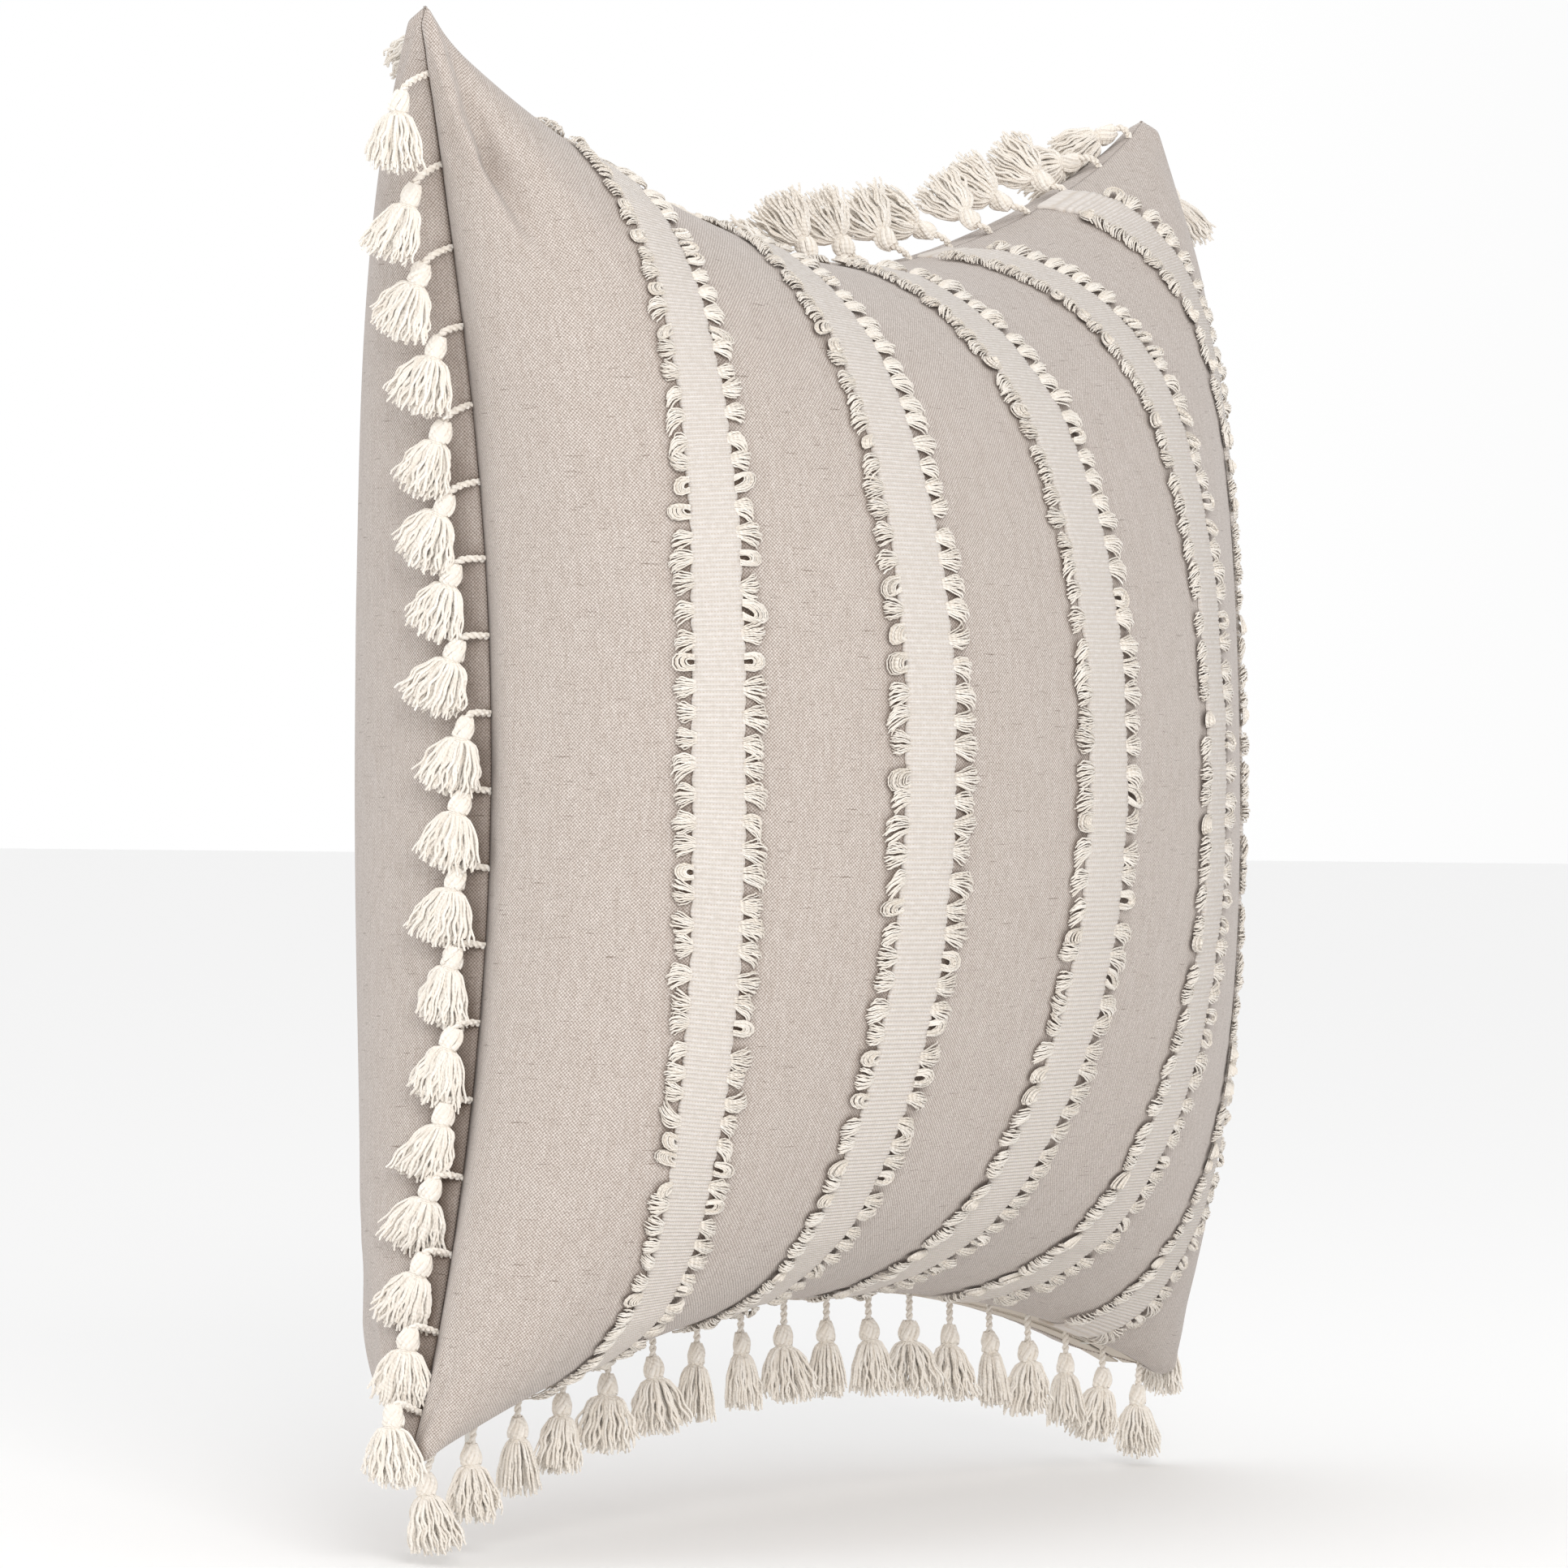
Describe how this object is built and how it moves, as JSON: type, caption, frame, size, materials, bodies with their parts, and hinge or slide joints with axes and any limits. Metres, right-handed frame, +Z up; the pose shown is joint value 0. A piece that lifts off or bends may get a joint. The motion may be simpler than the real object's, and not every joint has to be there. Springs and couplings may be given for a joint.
{
  "type": "throw pillow",
  "caption": "Square stuffed throw pillow with woven trim bands on its front, a tassel fringe in all four seams and a zipper behind the bottom seam.",
  "frame": {"origin": "under the middle of the pillow, at the height of the lowest tassel's end, in the plane of the seams", "axes": "+Z up as the pillow stands, front faces -Y, +X to the right seen from the front"},
  "size_m": [0.504, 0.2554, 0.5143],
  "materials": {
    "linen_cloth": "matte plain weave",
    "woven_trim": "matte ribbed cotton",
    "fringe_yarn": "matte cotton yarn",
    "insert_casing": "matte",
    "fibre_fill": "fluffy fibre",
    "zipper_tape": "woven tape with a nylon coil",
    "zipper_metal": "nickel plated"
  },
  "bodies": {
    "pillow": {"front_panel": "linen_cloth", "back_panel": "linen_cloth", "insert_front_casing": "insert_casing", "insert_back_casing": "insert_casing", "insert_fibre_fill": "fibre_fill", "trim_band_1": "woven_trim", "trim_band_2": "woven_trim", "trim_band_3": "woven_trim", "trim_band_4": "woven_trim", "trim_band_5": "woven_trim", "fringe_left": "fringe_yarn", "fringe_top": "fringe_yarn", "fringe_right": "fringe_yarn", "fringe_bottom_heading": "fringe_yarn", "zipper_front_half": "zipper_tape", "zipper_back_half": "zipper_tape", "zipper_bottom_stop": "zipper_metal", "zipper_top_stop_front": "zipper_metal", "zipper_top_stop_back": "zipper_metal"},
    "bottom_tassel_01": {"bottom_tassel_01": "fringe_yarn"},
    "bottom_tassel_02": {"bottom_tassel_02": "fringe_yarn"},
    "bottom_tassel_03": {"bottom_tassel_03": "fringe_yarn"},
    "bottom_tassel_04": {"bottom_tassel_04": "fringe_yarn"},
    "bottom_tassel_05": {"bottom_tassel_05": "fringe_yarn"},
    "bottom_tassel_06": {"bottom_tassel_06": "fringe_yarn"},
    "bottom_tassel_07": {"bottom_tassel_07": "fringe_yarn"},
    "bottom_tassel_08": {"bottom_tassel_08": "fringe_yarn"},
    "bottom_tassel_09": {"bottom_tassel_09": "fringe_yarn"},
    "bottom_tassel_10": {"bottom_tassel_10": "fringe_yarn"},
    "bottom_tassel_11": {"bottom_tassel_11": "fringe_yarn"},
    "bottom_tassel_12": {"bottom_tassel_12": "fringe_yarn"},
    "bottom_tassel_13": {"bottom_tassel_13": "fringe_yarn"},
    "bottom_tassel_14": {"bottom_tassel_14": "fringe_yarn"},
    "bottom_tassel_15": {"bottom_tassel_15": "fringe_yarn"},
    "bottom_tassel_16": {"bottom_tassel_16": "fringe_yarn"},
    "bottom_tassel_17": {"bottom_tassel_17": "fringe_yarn"},
    "bottom_tassel_18": {"bottom_tassel_18": "fringe_yarn"},
    "zipper_slider": {"zipper_slider": "zipper_metal"},
    "zipper_pull": {"zipper_pull": "zipper_metal"}
  },
  "joints": [
    {"name": "tassel_01_swing", "type": "hinge", "parent": "pillow", "child": "bottom_tassel_01", "pos_m": [-0.21854, 0, 0.0351], "axis": [1, 0, 0], "range_deg": [-60, 30]},
    {"name": "tassel_02_swing", "type": "hinge", "parent": "pillow", "child": "bottom_tassel_02", "pos_m": [-0.19365, 0, 0.0433], "axis": [1, 0, 0], "range_deg": [-60, 30]},
    {"name": "tassel_03_swing", "type": "hinge", "parent": "pillow", "child": "bottom_tassel_03", "pos_m": [-0.16845, 0, 0.05051], "axis": [1, 0, 0], "range_deg": [-60, 30]},
    {"name": "tassel_04_swing", "type": "hinge", "parent": "pillow", "child": "bottom_tassel_04", "pos_m": [-0.14299, 0, 0.05671], "axis": [1, 0, 0], "range_deg": [-60, 30]},
    {"name": "tassel_05_swing", "type": "hinge", "parent": "pillow", "child": "bottom_tassel_05", "pos_m": [-0.1173, 0, 0.06189], "axis": [1, 0, 0], "range_deg": [-60, 30]},
    {"name": "tassel_06_swing", "type": "hinge", "parent": "pillow", "child": "bottom_tassel_06", "pos_m": [-0.09143, 0, 0.06604], "axis": [1, 0, 0], "range_deg": [-60, 30]},
    {"name": "tassel_07_swing", "type": "hinge", "parent": "pillow", "child": "bottom_tassel_07", "pos_m": [-0.06541, 0, 0.06916], "axis": [1, 0, 0], "range_deg": [-60, 30]},
    {"name": "tassel_08_swing", "type": "hinge", "parent": "pillow", "child": "bottom_tassel_08", "pos_m": [-0.03929, 0, 0.07125], "axis": [1, 0, 0], "range_deg": [-60, 30]},
    {"name": "tassel_09_swing", "type": "hinge", "parent": "pillow", "child": "bottom_tassel_09", "pos_m": [-0.0131, 0, 0.07229], "axis": [1, 0, 0], "range_deg": [-60, 30]},
    {"name": "tassel_10_swing", "type": "hinge", "parent": "pillow", "child": "bottom_tassel_10", "pos_m": [0.0131, 0, 0.07229], "axis": [1, 0, 0], "range_deg": [-60, 30]},
    {"name": "tassel_11_swing", "type": "hinge", "parent": "pillow", "child": "bottom_tassel_11", "pos_m": [0.03929, 0, 0.07125], "axis": [1, 0, 0], "range_deg": [-60, 30]},
    {"name": "tassel_12_swing", "type": "hinge", "parent": "pillow", "child": "bottom_tassel_12", "pos_m": [0.06541, 0, 0.06916], "axis": [1, 0, 0], "range_deg": [-60, 30]},
    {"name": "tassel_13_swing", "type": "hinge", "parent": "pillow", "child": "bottom_tassel_13", "pos_m": [0.09143, 0, 0.06604], "axis": [1, 0, 0], "range_deg": [-60, 30]},
    {"name": "tassel_14_swing", "type": "hinge", "parent": "pillow", "child": "bottom_tassel_14", "pos_m": [0.1173, 0, 0.06189], "axis": [1, 0, 0], "range_deg": [-60, 30]},
    {"name": "tassel_15_swing", "type": "hinge", "parent": "pillow", "child": "bottom_tassel_15", "pos_m": [0.14299, 0, 0.05671], "axis": [1, 0, 0], "range_deg": [-60, 30]},
    {"name": "tassel_16_swing", "type": "hinge", "parent": "pillow", "child": "bottom_tassel_16", "pos_m": [0.16845, 0, 0.05051], "axis": [1, 0, 0], "range_deg": [-60, 30]},
    {"name": "tassel_17_swing", "type": "hinge", "parent": "pillow", "child": "bottom_tassel_17", "pos_m": [0.19365, 0, 0.0433], "axis": [1, 0, 0], "range_deg": [-60, 30]},
    {"name": "tassel_18_swing", "type": "hinge", "parent": "pillow", "child": "bottom_tassel_18", "pos_m": [0.21854, 0, 0.0351], "axis": [1, 0, 0], "range_deg": [-60, 30]},
    {"name": "zipper_travel", "type": "hinge", "parent": "pillow", "child": "zipper_slider", "pos_m": [0, 0.0102, -0.58608], "axis": [0, 1, 0], "range_deg": [0, 31.92]},
    {"name": "pull_swing", "type": "hinge", "parent": "zipper_slider", "child": "zipper_pull", "pos_m": [-0.18157, 0.0102, 0.0487], "axis": [0, 1, 0], "range_deg": [-70, 70]}
  ]
}
